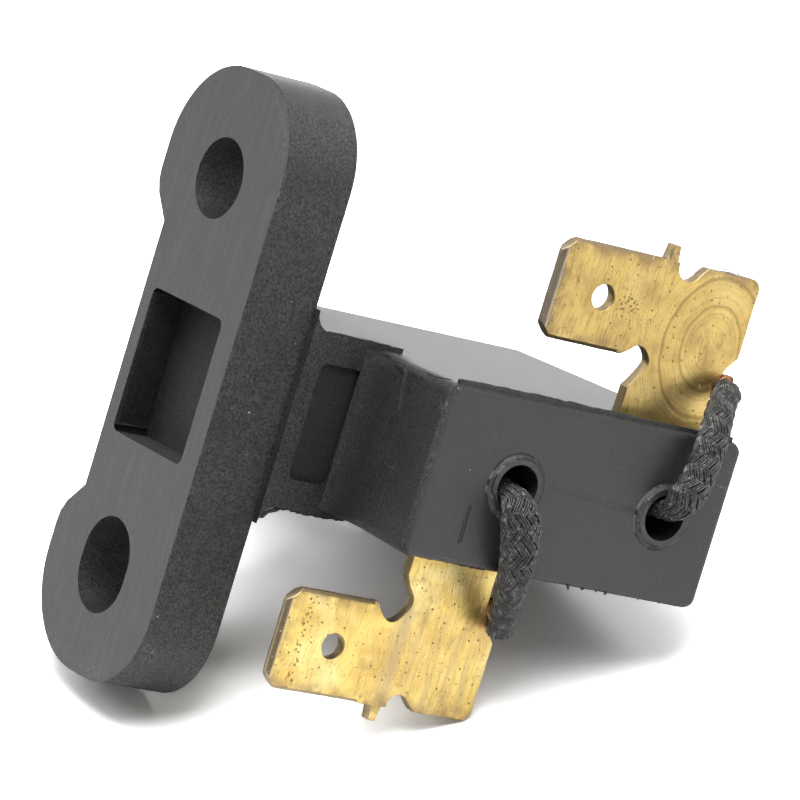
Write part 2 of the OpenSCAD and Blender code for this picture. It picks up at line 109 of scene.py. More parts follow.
# ---- node helpers ----
class Nodes:
    """Builds a material's node tree with short calls; lengths are in millimetres."""

    def __init__(self, name):
        self.material = bpy.data.materials.new(name)
        self.material.use_nodes = True
        self.tree = self.material.node_tree
        self.tree.nodes.clear()
        out = self.tree.nodes.new("ShaderNodeOutputMaterial")
        self.bsdf = self.tree.nodes.new("ShaderNodeBsdfPrincipled")
        self.tree.links.new(self.bsdf.outputs[0], out.inputs["Surface"])
        coord = self.tree.nodes.new("ShaderNodeTexCoord").outputs["Object"]
        self.at = self.vec("SCALE", coord, 1 / MM)
        self.x, self.y, self.z = self.split(self.at)
        facing = self.tree.nodes.new("ShaderNodeNewGeometry").outputs["True Normal"]
        self.nx, self.ny, self.nz = self.split(facing)

    def link(self, value, socket):
        if isinstance(value, bpy.types.NodeSocket):
            self.tree.links.new(value, socket)
        else:
            socket.default_value = value

    def split(self, vector):
        n = self.tree.nodes.new("ShaderNodeSeparateXYZ")
        self.link(vector, n.inputs[0])
        return n.outputs

    def join(self, *values):
        """A vector of one, two or three values; what isn't given is 0."""
        n = self.tree.nodes.new("ShaderNodeCombineXYZ")
        for value, socket in zip(values, n.inputs):
            self.link(value, socket)
        return n.outputs[0]

    def math(self, op, a, b=0.0, clamp=False):
        n = self.tree.nodes.new("ShaderNodeMath")
        n.operation = op
        n.use_clamp = clamp
        self.link(a, n.inputs[0])
        self.link(b, n.inputs[1])
        return n.outputs[0]

    def size(self, value):
        """The value without its sign."""
        return self.math("ABSOLUTE", value)

    def less(self, value):
        """1 - value."""
        return self.math("SUBTRACT", 1.0, value)

    def most(self, *values):
        out = values[0]
        for v in values[1:]:
            out = self.math("MAXIMUM", out, v)
        return out

    def times(self, *values):
        out = values[0]
        for v in values[1:]:
            out = self.math("MULTIPLY", out, v)
        return out

    def vec(self, op, a, b=(0.0, 0.0, 0.0)):
        n = self.tree.nodes.new("ShaderNodeVectorMath")
        n.operation = op
        self.link(a, n.inputs[0])
        self.link(b, n.inputs["Scale" if op == "SCALE" else 1])
        return n.outputs["Value"] if op in ("LENGTH", "DOT_PRODUCT") else n.outputs[0]

    def moved(self, step):
        return self.vec("ADD", self.at, step)

    def away(self, place):
        """The distance to place."""
        return self.vec("LENGTH", self.vec("SUBTRACT", self.at, place))

    def ramp(self, value, low, high, to_low=0.0, to_high=1.0):
        n = self.tree.nodes.new("ShaderNodeMapRange")
        n.interpolation_type = "SMOOTHSTEP"
        self.link(value, n.inputs[0])
        for i, v in enumerate((low, high, to_low, to_high)):
            n.inputs[i + 1].default_value = v
        return n.outputs[0]

    def noise(self, scale, detail=2.0, rough=0.5, stretch=(1, 1, 1), where=None, color=False):
        v = self.vec("MULTIPLY", where or self.at, tuple(s * scale for s in stretch))
        n = self.tree.nodes.new("ShaderNodeTexNoise")
        self.link(v, n.inputs["Vector"])
        n.inputs["Scale"].default_value = 1.0
        n.inputs["Detail"].default_value = detail
        n.inputs["Roughness"].default_value = rough
        return n.outputs["Color" if color else "Fac"]

    def dots(self, scale, low, high, keep=1.0, flat=False):
        """Round spots from low to high cells wide, in a share keep of the cells.

        Flat spots are drawn on the XZ plane, for faces that look along Y."""
        at = self.join(self.x, self.z) if flat else self.at
        v = self.vec("MULTIPLY", at, (scale, scale, scale))
        n = self.tree.nodes.new("ShaderNodeTexVoronoi")
        if flat:
            n.voronoi_dimensions = "2D"
        self.link(v, n.inputs["Vector"])
        n.inputs["Scale"].default_value = 1.0
        dice = self.tree.nodes.new("ShaderNodeSeparateColor")
        self.link(n.outputs["Color"], dice.inputs[0])
        chosen = self.math("LESS_THAN", dice.outputs[0], keep)
        radius = self.ramp(dice.outputs[1], 0, 1, low, high)
        spot = self.math("SUBTRACT", 1.0, self.math("DIVIDE", n.outputs["Distance"], radius),
                         clamp=True)
        return self.times(self.ramp(spot, 0.0, 0.5), chosen)

    def mix(self, fac, a, b):
        n = self.tree.nodes.new("ShaderNodeMix")
        n.data_type = "RGBA"
        self.link(fac, n.inputs[0])
        self.link(a, n.inputs[6])
        self.link(b, n.inputs[7])
        return n.outputs[2]

    def lerp(self, fac, a, b):
        n = self.tree.nodes.new("ShaderNodeMix")
        self.link(fac, n.inputs[0])
        self.link(a, n.inputs[2])
        self.link(b, n.inputs[3])
        return n.outputs[0]

    def bump(self, height, mm, normal=None):
        """Bumps in which a height of 1 stands mm millimetres proud."""
        n = self.tree.nodes.new("ShaderNodeBump")
        n.inputs["Strength"].default_value = 1.0
        n.inputs["Distance"].default_value = mm * MM
        self.link(height, n.inputs["Height"])
        if normal is not None:
            self.link(normal, n.inputs["Normal"])
        return n.outputs[0]

    def near(self, a, b, width, fade):
        """1 within width of the segment from a to b."""
        a, b = Vector(a), Vector(b)
        ab = b - a
        rel = self.vec("SUBTRACT", self.at, tuple(a))
        along = self.math("DIVIDE", self.vec("DOT_PRODUCT", rel, tuple(ab)),
                          max(ab.length_squared, 1e-6), clamp=True)
        foot = self.vec("SCALE", tuple(ab), along)
        d = self.vec("LENGTH", self.vec("SUBTRACT", rel, foot))
        return self.less(self.ramp(d, width, width + fade))

    def path(self, points, width, fade):
        return self.most(*(self.near(a, b, width, fade) for a, b in zip(points, points[1:])))

    def done(self, color, rough, metallic=0.0, normal=None):
        self.link(color, self.bsdf.inputs["Base Color"])
        self.link(rough, self.bsdf.inputs["Roughness"])
        self.link(metallic, self.bsdf.inputs["Metallic"])
        if normal is not None:
            self.link(normal, self.bsdf.inputs["Normal"])
        return self.material


def grey(v, warm=0.0):
    return (v * (1 + warm), v, v * (1 - warm), 1)


# ---- materials ----
def plastic_material():
    m = Nodes("plastic")
    front = m.times(m.ramp(m.y, FRONT + 0.6, FRONT + 0.2), m.ramp(m.ny, -0.6, -0.9))
    flange_front = m.times(m.ramp(m.x, 0.25, 0.1), m.ramp(m.nx, -0.6, -0.9))
    top = m.ramp(m.nz, 0.7, 0.95)
    side = m.less(m.most(front, flange_front, m.times(top, 0.7)))
    grain = m.noise(5.5, 5, 0.7)
    mottle = m.ramp(m.noise(0.35, 4, 0.6), 0.35, 0.68)
    streak = m.ramp(m.noise(1.6, 3, 0.6, (1, 1, 0.12)), 0.45, 0.7)

    base = m.mix(mottle, grey(0.021), grey(0.029))
    base = m.mix(m.times(streak, 0.35), base, grey(0.040))
    # painted light: the block's front face, and more so the flange's front face, are painted
    # lighter than the side faces, for the light that falls on them
    base = m.mix(m.times(front, 0.6), base, grey(0.034, 0.02))
    base = m.mix(flange_front, base, m.mix(streak, grey(0.038), grey(0.050)))
    # painted shade keeps the crease between the neck and the block dark
    crease = m.near((9.3, -8.1, -5), (9.3, -8.1, 5), 0.9, 1.6)
    base = m.mix(m.times(crease, 0.8), base, grey(0.008))
    # worn, paler places at the block's front corner and the flange's end, and painted highlights
    # on the brow, the lips' upper-left arcs and the flange's edge
    ragged = m.ramp(m.noise(3.4, 5, 0.75), 0.47, 0.66)
    smudge = m.ramp(m.noise(0.55, 4, 0.65, where=m.moved((4.0, 1.0, 7.0))), 0.56, 0.70)
    corner = m.path([(9.75, -15.75, -3.2), (9.75, -15.6, -0.9), (9.75, -15.5, 2.6),
                     (9.9, -15.5, 4.6)], 0.06, 0.3)
    foot = m.most(m.near((0.1, -2.2, -18.8), (1.6, -4.2, -18.3), 0.3, 1.3),
                  m.near((0.8, -6.4, -15.7), (1.2, -6.3, -16.5), 0.1, 0.8),
                  m.times(m.near((0, 4, -18.0), (0, -3, -18.9), 0.1, 0.7), 0.6))
    # a painted highlight along the edge between the flange's front face and its near side, at the
    # top
    edge = m.path([(0, -3.2, 18.2), (0, -5.2, 16.6), (0, -6.5, 14.0), (0, -6.6, 11.5)],
                  0.05, 0.22)
    # a painted highlight along the block's rounded top front edge
    brow = m.near((9.9, -15.5, 5.42), (23.8, -15.5, 5.42), 0.02, 0.26)
    # a painted highlight on the upper-left arc of each lead hole's raised lip
    lips = m.most(*(m.times(
        m.less(m.ramp(m.away((BRUSH[s]["x"] - 0.55, FRONT - 0.15, 0.6)), 1.5, 2.1)),
        m.ramp(m.y, FRONT - 0.02, FRONT - 0.12)) for s in BRUSH))
    worn = m.most(*(m.times(place, ragged, much) for place, much in (
        (corner, 0.6), (foot, 0.8), (lips, 0.6), (brow, 0.7), (edge, 0.9))))
    wear_and_highlights = m.most(worn, m.times(smudge, ragged, side, 0.30))
    scratches = m.most(
        m.path([(9.85, -10.4, 4.7), (9.85, -10.7, 3.6), (9.85, -10.95, 2.5)], 0.01, 0.3),
        m.path([(9.8, -11.5, -0.95), (9.8, -12.5, -0.9), (9.8, -13.2, -1.15)], 0.01, 0.09),
        m.path([(9.75, -14.7, 4.2), (9.75, -15.1, 3.6), (9.75, -15.5, 4.2)], 0.02, 0.16),
        m.path([(31.0, FRONT, 2.62), (31.85, FRONT, 2.5)], 0.02, 0.07),
        m.path([(12.8, FRONT, -5.0), (15.2, FRONT, -5.16)], 0.02, 0.09))
    scratches = m.times(scratches, m.ramp(m.noise(4.0, 3, 0.7), 0.35, 0.62))
    dust = m.dots(0.5, 0.02, 0.045, 0.4)
    crumbs = m.dots(2.6, 0.04, 0.16, 0.30)
    # paler colour for worn places and scratches, together with the painted highlights on the
    # brow, lips and flange edge
    pale = m.most(m.times(wear_and_highlights, 0.75), m.times(scratches, 0.6))
    base = m.mix(pale, base, grey(0.15, 0.01))
    base = m.mix(m.times(crumbs, m.lerp(side, 0.3, 0.6)), base, grey(0.17))
    base = m.mix(m.times(dust, 0.8), base, grey(0.5))
    # a thin groove in the front face: a dent in the bump, darkened with painted shade
    groove = m.path([(13.45, FRONT, -1.7), (13.42, FRONT, -2.6), (13.5, FRONT, -3.9)], 0.05, 0.1)
    base = m.mix(m.times(groove, 0.85), base, grey(0.012))
    # the spark-eroded faces sparkle: dark hollows and light grains
    sparkle = m.ramp(m.noise(7.5, 3, 0.75), 0.34, 0.68)
    swing = m.lerp(side, m.ramp(sparkle, 0, 1, 0.86, 1.14), m.ramp(sparkle, 0, 1, 0.20, 2.25))
    wall = m.times(m.ramp(m.x, 8.9, 9.2), m.ramp(m.nx, -0.3, -0.8), m.ramp(m.x, 10.6, 10.3))
    # painted shade in the hollows that little light reaches: the wall's foot, the pocket and the
    # recess
    inside = m.times(m.ramp(m.x, 0.1, 0.4), m.ramp(m.x, POCKET["depth"], POCKET["depth"] - 0.1),
                     m.ramp(m.size(m.math("SUBTRACT", m.y, POCKET["y"])),
                            POCKET["half_y"], POCKET["half_y"] - 0.15),
                     m.ramp(m.size(m.z), POCKET["half_z"], POCKET["half_z"] - 0.2))
    pocket = m.times(inside, m.ramp(m.nz, 0.9, 0.1))
    start, stop = RECESS["x"]
    recess = m.times(m.ramp(m.y, RECESS["y"], RECESS["y"] + 0.15),
                     m.ramp(m.x, start, start + 0.1), m.ramp(m.x, stop, stop - 0.1),
                     m.ramp(m.size(m.z), RECESS["half_z"], RECESS["half_z"] - 0.2))
    hidden = m.ramp(m.most(m.times(wall, 0.55), pocket, m.times(recess, 0.8)), 0, 1, 1.0, 0.35)
    base = m.vec("SCALE", base, m.times(swing, hidden))

    rough = m.lerp(m.ramp(grain, 0.3, 0.7), 0.32, 0.48)
    rough = m.lerp(m.times(side, 0.5), rough, m.ramp(sparkle, 0, 1, 0.62, 0.26))
    rough = m.lerp(m.times(top, 0.8), rough, 0.28)
    rough = m.lerp(m.most(pale, inside), rough, 0.55)
    rough = m.lerp(m.times(crease, 0.7), rough, 0.65)
    depth = m.lerp(m.most(side, m.times(top, 0.9)), 0.3, 1.0)
    height = m.math("ADD", m.times(grain, depth, 0.05), m.times(sparkle, depth, 0.020))
    height = m.math("SUBTRACT", height, m.times(groove, 0.10))
    height = m.math("ADD", height, m.times(scratches, 0.02))
    height = m.math("ADD", height, m.times(m.noise(0.8, 3, 0.5), 0.03))
    return m.done(base, rough, 0.0, m.bump(height, 1.0))


def flash_material():
    """Torn mould flash and the dark ridge along the edges."""
    m = Nodes("flash")
    grain = m.noise(7, 4, 0.7)
    return m.done(m.mix(grain, grey(0.012), grey(0.030)), m.ramp(grain, 0.3, 0.7, 0.5, 0.7), 0.0,
                  m.bump(grain, 0.05))


def brass_material():
    m = Nodes("brass")
    upper = m.math("GREATER_THAN", m.z, 0.0)
    lower = m.less(upper)
    # distances on the sheet from each blade's locating hole
    u = m.math("SUBTRACT", m.x, m.lerp(upper, HOLE["inner"][0], HOLE["outer"][0]))
    v = m.math("SUBTRACT", m.size(m.z), HOLE["outer"][2])
    face = m.math("GREATER_THAN", m.size(m.ny), 0.8)
    # rolled grain across the blade, bent slightly round the shoulder's press mark
    wander = m.vec("SCALE", m.noise(0.25, 2, 0.5, color=True), 1.2)
    grain = m.noise(7.0, 5, 0.62, (1.0, 1.0, 0.09), m.moved(wander))
    fine = m.noise(16.0, 3, 0.6, (1.0, 1.0, 0.05))
    band = m.noise(1.9, 5, 0.7, (1.0, 1.0, 0.05))
    centre = m.vec("LENGTH", m.vec("MULTIPLY", m.vec("SUBTRACT", m.at, (29.3, -13.15, 10.4)),
                                   (1.0, 0.0, 0.82)))
    wobble = m.times(m.math("SUBTRACT", m.noise(0.8, 3), 0.5), 0.35)
    rings = m.noise(2.9, 5, 0.75, where=m.join(m.math("ADD", centre, wobble)))
    pressed = m.times(upper, m.ramp(u, 3.2, 4.6), m.ramp(centre, 5.6, 4.8),
                      m.ramp(centre, 0.4, 1.6))
    grain = m.lerp(pressed, grain, rings)

    patina = m.noise(0.45, 4, 0.62)
    bright = m.noise(0.28, 3, 0.5, where=m.moved((5.0, 3.0, 9.0)))
    worn = m.mix(m.ramp(patina, 0.36, 0.70), (0.61, 0.44, 0.145, 1), (0.48, 0.33, 0.12, 1))
    worn = m.mix(m.times(m.ramp(bright, 0.50, 0.66), 0.5), worn, (0.70, 0.53, 0.21, 1))
    clean = m.mix(m.ramp(patina, 0.36, 0.70), (0.80, 0.585, 0.185, 1), (0.66, 0.455, 0.14, 1))
    clean = m.mix(m.times(m.ramp(bright, 0.50, 0.66), 0.6), clean, (0.90, 0.76, 0.36, 1))
    base = m.mix(upper, clean, worn)
    lines = m.ramp(grain, 0.52, 0.30)
    base = m.mix(m.times(lines, m.lerp(upper, 0.35, 0.60)), base, (0.26, 0.16, 0.055, 1))
    base = m.mix(m.times(pressed, m.ramp(grain, 0.50, 0.38), 0.75), base, (0.24, 0.15, 0.055, 1))
    # the lower terminal's shoulder has broad dull bands
    dull = m.times(lower, m.ramp(u, 3.4, 4.6), m.ramp(v, 3.6, 2.6), m.ramp(v, -3.7, -2.7))
    base = m.mix(m.times(dull, m.ramp(band, 0.40, 0.62), 0.6), base, (0.46, 0.34, 0.17, 1))
    base = m.mix(m.times(dull, m.ramp(u, 5.4, 4.6), 0.5), base, (0.42, 0.33, 0.20, 1))
    # tarnish round the blade, strongest at its long edges, round its hole and at the spur
    hole = m.away(m.mix(upper, HOLE["inner"] + (1,), HOLE["outer"] + (1,)))
    cloud = m.ramp(m.noise(0.9, 4, 0.65), 0.30, 0.62)
    edge = m.most(m.ramp(v, 2.0, 3.1), m.times(m.ramp(v, -2.1, -3.1), m.ramp(u, 3.0, 2.2)),
                  m.times(m.ramp(hole, 1.4, 0.95), 0.6))
    base = m.mix(m.times(edge, cloud, m.lerp(upper, 0.75, 0.85)), base, (0.27, 0.185, 0.10, 1))
    stained = m.ramp(m.noise(0.75, 6, 0.75), 0.52, 0.66)
    base = m.mix(m.times(stained, 0.45), base, (0.38, 0.25, 0.09, 1))
    # the blade's bevelled tip is painted grey as a painted highlight, with a band of painted dark
    # reflection inside it
    tip = m.lerp(upper, -4.05, -3.85)
    past = m.math("SUBTRACT", u, tip)
    bevel_reflection = m.times(m.ramp(past, 0.20, 0.45), m.ramp(past, 1.3, 0.5),
                        m.ramp(m.noise(1.2, 4, 0.6), 0.30, 0.55))
    base = m.mix(m.times(bevel_reflection, m.lerp(upper, 0.45, 0.8)), base, (0.24, 0.17, 0.09, 1))
    base = m.mix(m.times(m.ramp(past, 0.42, 0.20), m.lerp(upper, 0.5, 0.85)), base,
                 (0.46, 0.44, 0.41, 1))
    # cut edges are darker and greyer than the rolled faces
    base = m.mix(m.times(m.less(face), 0.75), base, (0.29, 0.225, 0.145, 1))
    # pits and stains
    pits = m.dots(1.5, 0.04, 0.14, 0.6, flat=True)
    specks = m.dots(3.4, 0.06, 0.20, 0.30, flat=True)
    cluster = m.less(m.ramp(m.away((22.3, -13.15, 11.9)), 0.4, 1.5))
    stain = m.times(m.dots(4.2, 0.25, 0.5, 0.6, flat=True), cluster)
    row = m.times(lower, m.less(m.ramp(m.size(m.math("ADD", u, 2.35)), 0.15, 0.42)))
    notches = m.times(row, m.dots(3.2, 0.22, 0.42, 0.75, flat=True))
    marks = m.most(pits, m.times(specks, 0.7), stain, notches)
    base = m.mix(m.times(marks, m.ramp(m.noise(1.3, 3, 0.6), 0.3, 0.65, 0.35, 0.85)), base,
                 (0.15, 0.085, 0.03, 1))

    rough = m.lerp(m.ramp(patina, 0.35, 0.7), 0.30, 0.44)
    rough = m.lerp(marks, rough, 0.7)
    metal = m.lerp(marks, 0.92, 0.35)
    height = m.math("ADD", m.times(grain, 0.030), m.times(fine, 0.006))
    height = m.math("ADD", height, m.times(m.noise(0.5, 3), 0.025))
    height = m.math("SUBTRACT", height, m.times(marks, 0.02))
    return m.done(base, rough, metal, m.bump(height, 1.0))


def carbon_material():
    m = Nodes("carbon")
    rub = m.noise(6, 4, 0.6, (1, 0.4, 0.12))
    worn = m.ramp(m.y, 15.4, 16.2)
    grain = m.noise(7, 4, 0.7)
    base = m.mix(m.ramp(grain, 0.35, 0.7), grey(0.022), grey(0.048, 0.03))
    base = m.mix(m.times(m.dots(3.0, 0.05, 0.16, 0.35), 0.6), base, grey(0.13))
    base = m.mix(m.times(worn, 0.6), base, m.mix(rub, grey(0.035), grey(0.10)))
    rough = m.lerp(worn, 0.62, 0.33)
    height = m.math("ADD", m.times(grain, 0.03), m.times(worn, rub, 0.05))
    return m.done(base, rough, 0.0, m.bump(height, 1.0))


def copper_material():
    m = Nodes("copper")
    tarnish = m.ramp(m.noise(1.6, 4, 0.6), 0.35, 0.68)
    base = m.mix(tarnish, (0.42, 0.19, 0.10, 1), (0.13, 0.06, 0.035, 1))
    height = m.noise(9, 3, 0.6)
    return m.done(base, m.ramp(height, 0.3, 0.7, 0.34, 0.52), 0.9, m.bump(height, 0.03))


def spring_material():
    m = Nodes("spring")
    dull = m.noise(2.5, 3, 0.6)
    base = m.mix(m.ramp(dull, 0.4, 0.7), (0.56, 0.55, 0.53, 1), (0.36, 0.35, 0.33, 1))
    return m.done(base, m.ramp(dull, 0.3, 0.7, 0.26, 0.40), 1.0, m.bump(m.noise(12, 2), 0.01))


def braid_material():
    m = Nodes("braid")
    shade = m.noise(2.4, 3, 0.6)
    # painted glints: pale flecks of painted highlight in the braid's colour, with lower roughness
    # there
    painted_glint = m.ramp(m.noise(3.1, 3, 0.6, where=m.moved((3.0, 7.0, 1.0))), 0.54, 0.68)
    base = m.mix(m.ramp(shade, 0.35, 0.68), grey(0.014), grey(0.045))
    base = m.mix(m.times(painted_glint, 0.7), base, grey(0.30))
    thread = m.ramp(m.noise(9, 3, 0.7), 0.55, 0.66)
    base = m.mix(m.times(thread, 0.6), base, grey(0.24))
    return m.done(base, m.lerp(painted_glint, 0.36, 0.20), 0.0, m.bump(m.noise(11, 3, 0.7), 0.03))


def burr_material():
    m = Nodes("burr")
    g = m.noise(4, 3)
    return m.done(m.mix(g, grey(0.40), grey(0.75)), 0.3, 0.85, m.bump(g, 0.05))


MATERIALS = {
    "plastic": plastic_material(), "flash": flash_material(), "brass": brass_material(),
    "carbon": carbon_material(), "copper": copper_material(), "spring": spring_material(),
    "braid": braid_material(), "burr": burr_material()}
for part in frame["record"]["subparts"]:
    ob = frame["nodes"][part["node"]]
    ob.data.materials.clear()
    ob.data.materials.append(MATERIALS[part["material_slot"]])


# ---- pieces ----
def piece(name, mesh, material, body=None, nodes=()):
    """Adds a mesh as a smooth piece that stands for nodes and rides on body, if one is given."""
    ob = bpy.data.objects.new(name, mesh)
    bpy.context.scene.collection.objects.link(ob)
    mesh.materials.append(MATERIALS[material])
    mesh.shade_smooth()
    if nodes:
        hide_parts(*nodes)
    if body:
        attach(ob, body)
    return ob


def mesh_of(name, verts, faces):
    """A mesh from points in millimetres."""
    mesh = bpy.data.meshes.new(name)
    mesh.from_pydata([tuple(c * MM for c in v) for v in verts], [], faces)
    mesh.validate()
    return mesh


def apply_modifiers(ob):
    deps = bpy.context.evaluated_depsgraph_get()
    mesh = bpy.data.meshes.new_from_object(ob.evaluated_get(deps))
    ob.modifiers.clear()
    ob.data = mesh


def clean_copy(node, name):
    """The CAD node's shape with its flat faces whole again."""
    bm = bmesh.new()
    bm.from_mesh(frame["nodes"][node].data)
    bmesh.ops.remove_doubles(bm, verts=bm.verts, dist=2e-6)
    bmesh.ops.dissolve_limit(bm, angle_limit=math.radians(0.6), verts=bm.verts, edges=bm.edges)
    mesh = bpy.data.meshes.new(name)
    bm.to_mesh(mesh)
    bm.free()
    return mesh


def bevelled(ob, width, segments=2, angle=28):
    """Rounds the edges sharper than angle degrees by width millimetres."""
    mod = ob.modifiers.new("bevel", "BEVEL")
    mod.width = width * MM
    mod.segments = segments
    mod.limit_method = "ANGLE"
    mod.angle_limit = math.radians(angle)
    mod.use_clamp_overlap = True
    mod.harden_normals = False
    mod = ob.modifiers.new("normals", "WEIGHTED_NORMAL")
    mod.keep_sharp = False
    apply_modifiers(ob)


def roughen(mesh, size, cell, axes=(1, 1, 1), seed=0.0):
    """Moves a mesh's points by smooth noise of up to size, with waves of cell, in millimetres."""
    for v in mesh.vertices:
        p = v.co / MM / cell + Vector((seed, seed, seed))
        d = noise.noise_vector(p)
        v.co += Vector(a * b for a, b in zip(d, axes)) * size * MM


def cut_edges(mesh, longest):
    """Splits long edges of a mesh so that noise can bend them, without touching its faces."""
    bm = bmesh.new()
    bm.from_mesh(mesh)
    for e in list(bm.edges):
        n = int(e.calc_length() / (longest * MM))
        if n > 0 and len(e.link_faces) == 2 and e.calc_face_angle(0) > 0.3:
            bmesh.ops.subdivide_edges(bm, edges=[e], cuts=n)
    bm.to_mesh(mesh)
    bm.free()


def along(p, t):
    """The point at t on a smooth curve through the points p, as the CAD source draws it."""
    n = len(p) - 1
    i = min(int(t), n - 1)
    u = t - i
    a, b, c, d = p[max(i - 1, 0)], p[i], p[i + 1], p[min(i + 2, n)]
    return 0.5 * (2 * b + (c - a) * u + (2 * a - 5 * b + 4 * c - d) * u * u
                  + (3 * b - a - 3 * c + d) * u ** 3)


def frames(p, step):
    """Evenly spaced (place, heading, wide side, thin side, width, length so far)."""
    n = len(p) - 1
    ts = np.linspace(0, n, n * 40 + 1)
    pts = np.array([along(p, t) for t in ts])
    run = np.concatenate([[0], np.cumsum(np.linalg.norm(np.diff(pts[:, :3], axis=0), axis=1))])
    count = max(int(run[-1] / step), 2)
    out = []
    for s in np.linspace(0, run[-1], count + 1):
        t = float(np.interp(s, run, ts))
        at = along(p, t)
        ahead = along(p, min(t + 0.05, n))[:3] - along(p, max(t - 0.05, 0))[:3]
        ahead /= np.linalg.norm(ahead)
        x = np.array([1.0, 0, 0])
        wide = x - (x @ ahead) * ahead
        wide /= np.linalg.norm(wide)
        out.append((at[:3], ahead, wide, np.cross(ahead, wide), at[3] if len(at) > 3 else 0.0, s))
    return out


class Tubes:
    """Collects round and flat strands into one closed mesh."""

    def __init__(self):
        self.verts = []
        self.faces = []

    def add(self, centres, sides, wides, thins):
        """A strand through centres; wides and thins are its half axes at each centre."""
        base = len(self.verts)
        for c, a, b in zip(centres, wides, thins):
            for k in range(sides):
                w = 2 * math.pi * (k + 0.5) / sides
                self.verts.append(c + a * math.cos(w) + b * math.sin(w))
        n = len(centres)
        for i in range(n - 1):
            for k in range(sides):
                a = base + i * sides + k
                b = base + i * sides + (k + 1) % sides
                self.faces.append((a, b, b + sides, a + sides))
        self.faces.append(tuple(base + k for k in range(sides))[::-1])
        self.faces.append(tuple(base + (n - 1) * sides + k for k in range(sides)))

    def strand(self, centres, sides, radius, flat=1.0, normals=None):
        """A strand of the given radius, flattened along normals."""
        centres = [np.asarray(c, float) for c in centres]
        wides, thins = [], []
        for i, c in enumerate(centres):
            ahead = centres[min(i + 1, len(centres) - 1)] - centres[max(i - 1, 0)]
            ahead /= np.linalg.norm(ahead) + 1e-12
            n = normals[i] if normals is not None else np.array([0.3, 0.5, 0.8])
            n = n - (n @ ahead) * ahead
            n /= np.linalg.norm(n) + 1e-12
            wides.append(np.cross(ahead, n) * radius)
            thins.append(n * radius * flat)
        self.add(centres, sides, wides, thins)

    def mesh(self, name):
        return mesh_of(name, self.verts, self.faces)


# ---- holder ----
def straighten_lip(mesh):
    """Moves the thin lip at the recess's end into the line of the recess's edge."""
    for v in mesh.vertices:
        x, y, z = v.co / MM
        if 8.75 < x < 9.09 and -7.2 < y < -7.05 and abs(z) < 3.75:
            v.co.x = 9.085 * MM


def round_flange(mesh):
    """Rounds the flange's front edge on the terminals' side, softer than the other edges."""
    bm = bmesh.new()
    bm.from_mesh(mesh)
    edges = []
    for e in bm.edges:
        if len(e.link_faces) != 2 or max(v.co.x for v in e.verts) > 0.01 * MM:
            continue
        middle = (e.verts[0].co + e.verts[1].co) / 2 / MM
        # the nearest point of the flange's middle line, from one hole to the other
        inward = Vector((middle.x, -0.07, max(-12.25, min(12.25, middle.z))))
        rim = [f for f in e.link_faces if abs(f.normal.x) < 0.5]
        if len(rim) == 1 and rim[0].normal.dot(middle - inward) > 0 and middle.y < -1.0 and (
                middle.y < -4.3 or abs(middle.z) > 15.2):
            edges.append(e)
    bmesh.ops.bevel(bm, geom=edges, offset=0.28 * MM, segments=3, profile=0.5, affect="EDGES",
                    clamp_overlap=True)
    bm.to_mesh(mesh)
    bm.free()


holder_mesh = clean_copy("holder", "moulding")
straighten_lip(holder_mesh)
round_flange(holder_mesh)
moulding = piece("moulding", holder_mesh, "plastic", "holder", ["holder"])
bevelled(moulding, 0.14)


def crease_fill():
    """A hollow sweep from the neck's face into the block's drafted wall."""
    neck, deep = -7.05, 10.3    # y of the neck's face, and x of the fill's hidden back
    profile = [(9.07, neck)]
    for k in range(25):
        y = -7.12 - 0.21 * k
        wall = 9.848 + 0.02146 * (y + 8.274)
        profile.append((wall - 0.79 * math.exp((y + 7.1) / 0.9) + 0.0009 * k, y))
    profile += [(deep, profile[-1][1]), (deep, neck)]
    # z of each section, and how far it sinks into the wall
    stations = [(-5.2, 0.35), (-5.0, 0.12), (-4.6, 0.0), (0.0, 0.0), (4.3, 0.0), (4.75, 0.1),
                (5.0, 0.3), (5.1, 0.6)]
    n = len(profile)
    verts, faces = [], []
    for z, sink in stations:
        for i, (x, y) in enumerate(profile):
            verts.append((min(x + sink, deep), y, z))
    for i in range(len(stations) - 1):
        for k in range(n):
            a, b = i * n + k, i * n + (k + 1) % n
            faces.append((a, b, b + n, a + n))
    faces.append(tuple(range(n))[::-1])
    faces.append(tuple((len(stations) - 1) * n + k for k in range(n)))
    ob = piece("crease_fill", mesh_of("crease_fill", verts, faces), "plastic",
               "holder")
    bm = bmesh.new()
    bm.from_mesh(ob.data)
    bmesh.ops.recalc_face_normals(bm, faces=bm.faces)
    bm.to_mesh(ob.data)
    bm.free()


crease_fill()


def ragged_strip(name, points, half_wide, half_high, lump, seed):
    """A torn ridge of flash along points; lump is how uneven it is."""
    rnd = random.Random(seed)
    pts = [Vector(p) for p in points]
    dense = []
    for a, b in zip(pts, pts[1:]):
        n = max(int((b - a).length / 0.11), 1)
        dense += [a.lerp(b, k / n) for k in range(n)]
    dense.append(pts[-1])
    centres, wides, thins = [], [], []
    for i, c in enumerate(dense):
        ahead = (dense[min(i + 1, len(dense) - 1)] - dense[max(i - 1, 0)]).normalized()
        slow = noise.noise(c * 0.7 + Vector((seed, 0, 0)))
        quick = noise.noise(c * 3.1 + Vector((0, seed, 0)))
        size = max(0.25, 1 + lump * (slow * 1.2 + quick * 1.4) + rnd.uniform(-0.1, 0.1))
        ends = min(1.0, 0.3 + 0.35 * min(i, len(dense) - 1 - i))
        outward = Vector((0, -0.5, 1 if c.z > 0 else -1)).normalized()
        outward = (outward - outward.dot(ahead) * ahead).normalized()
        across = ahead.cross(outward)
        sway = 0.06 * noise.noise(c * 1.7 + Vector((0, 0, seed)))
        centres.append(np.array(c + across * sway))
        wides.append(np.array(across * half_wide * size * ends))
        thins.append(np.array(outward * half_high * size * ends))
    t = Tubes()
    t.add(centres, 7, wides, thins)
    piece(name, t.mesh(name), "flash", "holder")


